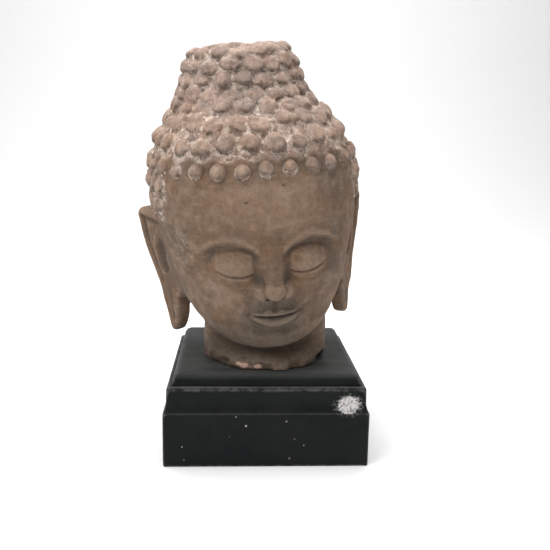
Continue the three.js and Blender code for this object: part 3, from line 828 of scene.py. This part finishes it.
def stone_material():
    m = Shading("weathered_sandstone")
    hair = m.attribute("hair")
    standing = m.attribute("standing")
    hollow = m.attribute("hollow")
    broad = m.attribute("broad_hollow")
    clouds = m.noise(16, 6, 0.62)
    patches = m.noise(55, 5, 0.65)
    grain = m.noise(900, 2, 0.7)
    specks = m.cells(620)

    skin = m.mix(m.ramp(clouds, 0.36, 0.64), WARM_STONE, DARK_STONE)
    skin = m.mix(m.ramp(patches, 0.5, 0.72, 0, 0.6), skin, RUSTY_STONE)
    chisel = m.add("VectorMath", {0: m.place, 1: (40.0, 60.0, 420.0)}, operation="MULTIPLY")
    chisel = m.noise(1.0, 4, 0.65, chisel.outputs[0])
    skin = m.mix(m.ramp(chisel, 0.52, 0.7, 0, 0.35), skin, CHISELLED_STONE)
    grey_patch = m.math("MULTIPLY", m.ramp(m.noise(38, 4), 0.5, 0.66), 0.3)
    skin = m.mix(grey_patch, skin, GREY_STONE)
    # Painted light: a paler patch on the forehead, where the light from above falls most.
    forehead_light = m.near(head_place(4, -118, HAIRLINE_Z - 22), 0.02, 0.07, (0.8, 1, 1.6))
    skin = m.mix(m.math("MULTIPLY", forehead_light, 0.7), skin, FOREHEAD_PAINTED_LIGHT)
    stain = m.near(head_place(0, -124, MOUTH_Z - 2), 0.014, 0.055, (1, 1, 1.25))
    stain = m.math("MULTIPLY", stain, m.ramp(patches, 0.25, 0.6, 0.4, 0.8))
    skin = m.mix(stain, skin, MOUTH_STAIN)

    height = m.add("SeparateXYZ", {0: m.place}).outputs["Z"]
    high = m.ramp(height, 0.335, 0.4)
    curl = m.mix(high, LOW_CURLS, HIGH_CURLS)
    curl = m.mix(m.ramp(m.noise(30, 5, 0.7), 0.45, 0.62, 0, 0.8), curl, GREY_CURLS)
    curl = m.mix(m.ramp(patches, 0.52, 0.7, 0, 0.6), curl, RUSTY_CURLS)
    crevice = m.ramp(hollow, 0.02, 0.4)
    low = m.ramp(standing, 0.6, 3.6, 1.0, 0.0)
    crust_spread = m.ramp(m.noise(120, 6, 0.75), 0.45, 0.57)
    vein = m.math("ABSOLUTE", m.math("SUBTRACT", m.noise(75, 6, 0.7), 0.5))
    vein = m.ramp(vein, 0.004, 0.03, 0.85, 0.0)
    crust = m.math("MAXIMUM", m.math("MULTIPLY", crevice, crust_spread),
                   m.math("MULTIPLY", low, vein))
    crust = m.math("MULTIPLY", crust, m.ramp(m.noise(24, 2), 0.36, 0.52, 0.35, 1.0))
    crust = m.math("MULTIPLY", crust, m.ramp(hair, 0.55, 0.95))
    colour = m.mix(hair, skin, curl)
    # Painted shade: the downward-facing undersides of the curls and beads are darkened as if in
    # shadow.
    underside_shade = m.add("SeparateXYZ", {0: m.add("NewGeometry").outputs["Normal"]}).outputs["Z"]
    underside_shade = m.math("MULTIPLY", m.ramp(underside_shade, 0.12, -0.4), m.ramp(hair, 0.3, 0.9))
    underside_shade = m.math("MULTIPLY", underside_shade, m.ramp(m.noise(260, 3, 0.7), 0.4, 0.6, 0.35, 0.9))
    colour = m.mix(underside_shade, colour, UNDERSIDE_PAINTED_SHADE)
    # Dirt and painted shade: concave hollows such as the eye slits, nostrils and mouth line are
    # darkened.
    dirt_and_shade = m.ramp(hollow, 0.05, 0.7, 0, 0.75)
    dirt_and_shade = m.math("MULTIPLY", dirt_and_shade, m.ramp(hair, 0.2, 0.9, 1.0, 0.45))
    colour = m.mix(dirt_and_shade, colour, HOLLOW_DIRT_AND_SHADE)
    shade = m.ramp(broad, 0.3, 4.0, 0, 0.35)
    colour = m.mix(m.math("MULTIPLY", shade, m.ramp(hair, 0.2, 0.9, 1.0, 0.2)), colour,
                   HOLLOW_SHADE)
    colour = m.mix(crust, colour, PALE_CRUST)
    rubbed = m.ramp(hollow, -0.08, -0.5, 0, 0.25)
    colour = m.mix(rubbed, colour, RUBBED_STONE)
    tips = m.math("MULTIPLY", m.ramp(standing, 4.2, 6.5), m.ramp(hair, 0.4, 0.8))
    mottle = m.noise(330, 4, 0.75)
    colour = m.mix(m.math("MULTIPLY", tips, m.ramp(mottle, 0.47, 0.36, 0, 0.8)), colour,
                   DARK_TIPS)
    colour = m.mix(m.math("MULTIPLY", tips, m.ramp(mottle, 0.56, 0.66, 0, 0.6)), colour,
                   PALE_TIPS)
    scratch_lines = m.math("ABSOLUTE", m.math("SUBTRACT", m.noise(95, 5, 0.7), 0.5))
    scratched = m.math("MULTIPLY", m.ramp(scratch_lines, 0.0, 0.02, 1.0, 0.0),
                       m.near(head_place(-91, -75, -70), 0.006, 0.024, (1, 0.7, 0.75)))
    colour = m.mix(m.math("MULTIPLY", scratched, 0.75), colour, SCRATCHED_STONE)
    # Painted shade: the neck under the overhanging chin and the lowest part of the stone are
    # darkened as if in shadow.
    low_down = m.math("MAXIMUM", m.ramp(height, 0.135, 0.112),
                      m.near((NECK_FRONT[0] * MM, NECK_FRONT[1] * MM, 0.112), 0.05, 0.085,
                             (0.8, 1, 1.4)))
    colour = m.mix(m.math("MULTIPLY", low_down, 0.55), colour, NECK_PAINTED_SHADE)
    for place, size in BREAKS:
        spot = m.near(tuple(v * MM for v in place), size * 0.9 * MM, size * 1.3 * MM, (1, 0.5, 1.7))
        colour = m.mix(m.math("MULTIPLY", spot, m.ramp(patches, 0.3, 0.5, 0.45, 0.9)), colour,
                       BROKEN_STONE)

    tone = m.ramp(grain, 0.3, 0.7, 0.87, 1.12)
    tone = m.math("MULTIPLY", tone, m.ramp(m.noise(190, 5, 0.7), 0.3, 0.7, 0.84, 1.14))
    lumpy = m.ramp(m.noise(150, 4, 0.7), 0.34, 0.66, 0.74, 1.2)
    tone = m.math("MULTIPLY", tone, m.add("Mix", {0: hair, 2: 1.0, 3: lumpy}).outputs[0])
    toned = m.add("VectorMath", {0: colour, 3: tone}, operation="SCALE")
    pits = m.math("MULTIPLY", m.ramp(specks, 0.0, 0.2, 1.0, 0.0),
                  m.ramp(m.noise(240, 2), 0.52, 0.6))
    pits = m.math("MULTIPLY", pits, m.ramp(hair, 0.3, 0.9))
    colour = m.mix(m.math("MULTIPLY", pits, 0.6), toned.outputs[0], PITTED_STONE)
    m.feed(m.shader.inputs["Base Color"], colour)
    m.feed(m.shader.inputs["Roughness"], m.ramp(patches, 0.3, 0.7, 0.78, 0.95))
    m.shader.inputs["Specular IOR Level"].default_value = STONE_GLOSS

    surface = m.math("ADD", m.math("MULTIPLY", m.noise(420, 4, 0.6), 0.55),
                     m.math("MULTIPLY", m.noise(1500, 2, 0.6), 0.3))
    surface = m.math("SUBTRACT", surface, m.math("MULTIPLY", pits, 0.6))
    surface = m.math("ADD", surface, m.math("MULTIPLY", chisel, m.ramp(hair, 0.2, 0.8, 0.45, 0.0)))
    m.feed(m.shader.inputs["Normal"], m.bump(surface, STONE_RELIEF, 0.8))
    return m.material


# Colours of the paint and of what lies on it, in linear light.
BLACK_PAINT, WORN_PAINT = (0.0075, 0.0088, 0.0095), (0.0115, 0.0125, 0.0125)
# The pale grey on upward faces is dust together with a painted sheen.
PLINTH_DUST_AND_SHEEN, RUBBED_EDGE = (0.118, 0.122, 0.115), (0.17, 0.17, 0.16)
FLECK, PAINT_SPECK = (0.33, 0.32, 0.29), (0.5, 0.47, 0.42)
SCUFF_HALO, SCUFF_WHITE = (0.2, 0.2, 0.195), (0.66, 0.63, 0.62)
# Where the round scuff sits, as a share of the half-width and in millimetres.
SCUFF_ACROSS, SCUFF_Y, SCUFF_Z = 0.795, -107, 68
PAINT_GLOSS, PAINT_RELIEF = 0.1, 0.00035


def plinth_material():
    m = Shading("black_painted_wood")
    edge = m.attribute("edge")
    height = m.add("SeparateXYZ", {0: m.place}).outputs["Z"]
    facing = m.add("SeparateXYZ", {0: m.add("NewGeometry").outputs["Normal"]}).outputs["Z"]
    cloud = m.noise(22, 5, 0.6)
    fine = m.noise(300, 3, 0.6)
    brushed = m.add("VectorMath", {0: m.place, 1: (9.0, 90.0, 90.0)}, operation="MULTIPLY")
    strokes = m.noise(1.0, 4, 0.6, brushed.outputs[0])

    colour = m.mix(m.ramp(cloud, 0.35, 0.65), BLACK_PAINT, WORN_PAINT)
    # Dust and painted sheen: upward-facing paint is made paler, partly for dust and partly for the
    # bright room reflected in the top.
    dust_and_sheen = m.math("MULTIPLY", m.ramp(facing, 0.25, 0.95), m.ramp(strokes, 0.3, 0.7, 0.35, 0.8))
    colour = m.mix(m.math("MULTIPLY", dust_and_sheen, 0.6), colour, PLINTH_DUST_AND_SHEEN)
    rub = m.math("MULTIPLY", m.ramp(edge, 0.25, 0.9),
                 m.ramp(m.noise(110, 4, 0.7), 0.4, 0.62, 0.08, 0.6))
    colour = m.mix(rub, colour, RUBBED_EDGE)

    fleck_cells = m.cells(95)
    fleck_size = m.ramp(m.noise(130, 1), 0.57, 0.72, 0.0, 0.13)
    flecks = m.math("LESS_THAN", fleck_cells, fleck_size)
    colour = m.mix(m.math("MULTIPLY", flecks, 0.55), colour, FLECK)

    for x, z, size in PLINTH_SPECKS:
        spot = m.near((x * MM, PLINTH_LOW[1] * MM, z * MM), size * 0.6 * MM, size * MM, (1, 0.3, 1))
        colour = m.mix(m.math("MULTIPLY", spot, 0.8), colour, PAINT_SPECK)

    scuff_place = (PLINTH_HIGH[0] * SCUFF_ACROSS * MM, SCUFF_Y * MM, SCUFF_Z * MM)
    ragged = m.noise(170, 5, 0.7)
    wobble = m.ramp(ragged, 0.25, 0.75, -0.0022, 0.0022)
    away = m.add("VectorMath", {0: m.place, 1: scuff_place}, operation="SUBTRACT").outputs[0]
    away = m.add("VectorMath", {0: away, 1: (0.86, 0.4, 1.12)}, operation="MULTIPLY").outputs[0]
    reach = m.add("VectorMath", {0: away}, operation="LENGTH").outputs["Value"]
    reach = m.math("ADD", reach, wobble)
    halo = m.ramp(reach, 0.0105, 0.0165, 0.6, 0.0)
    white = m.ramp(reach, 0.0092, 0.0115, 1.0, 0.0)
    mottle = m.ramp(m.noise(420, 3, 0.6), 0.38, 0.5, 0.3, 1.0)
    colour = m.mix(m.math("MULTIPLY", halo, m.ramp(m.noise(300, 3), 0.45, 0.6)), colour,
                   SCUFF_HALO)
    colour = m.mix(m.math("MULTIPLY", white, mottle), colour, SCUFF_WHITE)

    m.feed(m.shader.inputs["Base Color"], colour)
    rough = m.ramp(cloud, 0.3, 0.7, 0.4, 0.52)
    rough = m.math("ADD", rough, m.math("MULTIPLY", dust_and_sheen, 0.25), clamp=True)
    rough = m.math("ADD", rough, m.math("MULTIPLY", white, 0.5), clamp=True)
    m.feed(m.shader.inputs["Roughness"], rough)
    m.shader.inputs["Specular IOR Level"].default_value = PAINT_GLOSS
    surface = m.math("ADD", m.math("MULTIPLY", strokes, 0.7), m.math("MULTIPLY", fine, 0.3))
    surface = m.math("ADD", surface, m.math("MULTIPLY", white, 0.5))
    m.feed(m.shader.inputs["Normal"], m.bump(surface, PAINT_RELIEF, 0.6))
    return m.material


# ---- Studio --------------------------------------------------------------------------------

# The paper's half-width, how far it runs back and forward, its height and its bend, in metres.
PAPER_HALF, PAPER_BACK, PAPER_FRONT, PAPER_HEIGHT, PAPER_BEND = 4.0, 2.4, -4.0, 3.0, 0.9
PAPER_WHITE, PAPER_ROUGHNESS = (0.93, 0.93, 0.93, 1), 0.95
ROOM_STRENGTH = 0.22
# Name, place, size in metres and power in watts of each soft light.
LIGHTS = (("key", (-1.0, -1.0, 1.6), 0.9, 13.0), ("overhead", (-0.1, 0.2, 2.2), 2.6, 84.0))
LIGHT_AIM = Vector((0, 0, 0.22))


def studio():
    """A pale sweep of paper, a soft light on the left, a larger one overhead and a pale room."""
    half, back, rise, bend = PAPER_HALF, PAPER_BACK, PAPER_HEIGHT, PAPER_BEND
    profile = [(PAPER_FRONT, 0.0), (back - bend, 0.0)]
    for angle in np.linspace(0, math.pi / 2, 13)[1:]:
        profile.append((back - bend + bend * math.sin(angle), bend - bend * math.cos(angle)))
    profile.append((back, rise))
    points = [(side * half, y, z) for y, z in profile for side in (-1, 1)]
    faces = [(2 * i, 2 * i + 1, 2 * i + 3, 2 * i + 2) for i in range(len(profile) - 1)]
    mesh = bpy.data.meshes.new("paper_sweep")
    mesh.from_pydata(points, [], faces)
    mesh.shade_smooth()
    paper = Shading("white_paper")
    paper.shader.inputs["Base Color"].default_value = PAPER_WHITE
    paper.shader.inputs["Roughness"].default_value = PAPER_ROUGHNESS
    paper.shader.inputs["Specular IOR Level"].default_value = 0.0
    mesh.materials.append(paper.material)
    sweep = bpy.data.objects.new("paper_sweep", mesh)
    bpy.context.scene.collection.objects.link(sweep)

    world = bpy.data.worlds.new("room")
    world.use_nodes = True
    world.node_tree.nodes["Background"].inputs["Color"].default_value = (1, 1, 1, 1)
    world.node_tree.nodes["Background"].inputs["Strength"].default_value = ROOM_STRENGTH
    bpy.context.scene.world = world
    for name, place, size, power in LIGHTS:
        light = bpy.data.lights.new(name, "AREA")
        light.size = size
        light.energy = power
        holder = bpy.data.objects.new(name, light)
        aim = (LIGHT_AIM - Vector(place)).to_track_quat("-Z", "Y")
        holder.matrix_world = Matrix.Translation(place) @ aim.to_matrix().to_4x4()
        bpy.context.scene.collection.objects.link(holder)
    bpy.context.scene.view_settings.view_transform = "Standard"


add_camera()
buddha_head()
plinth()
studio()
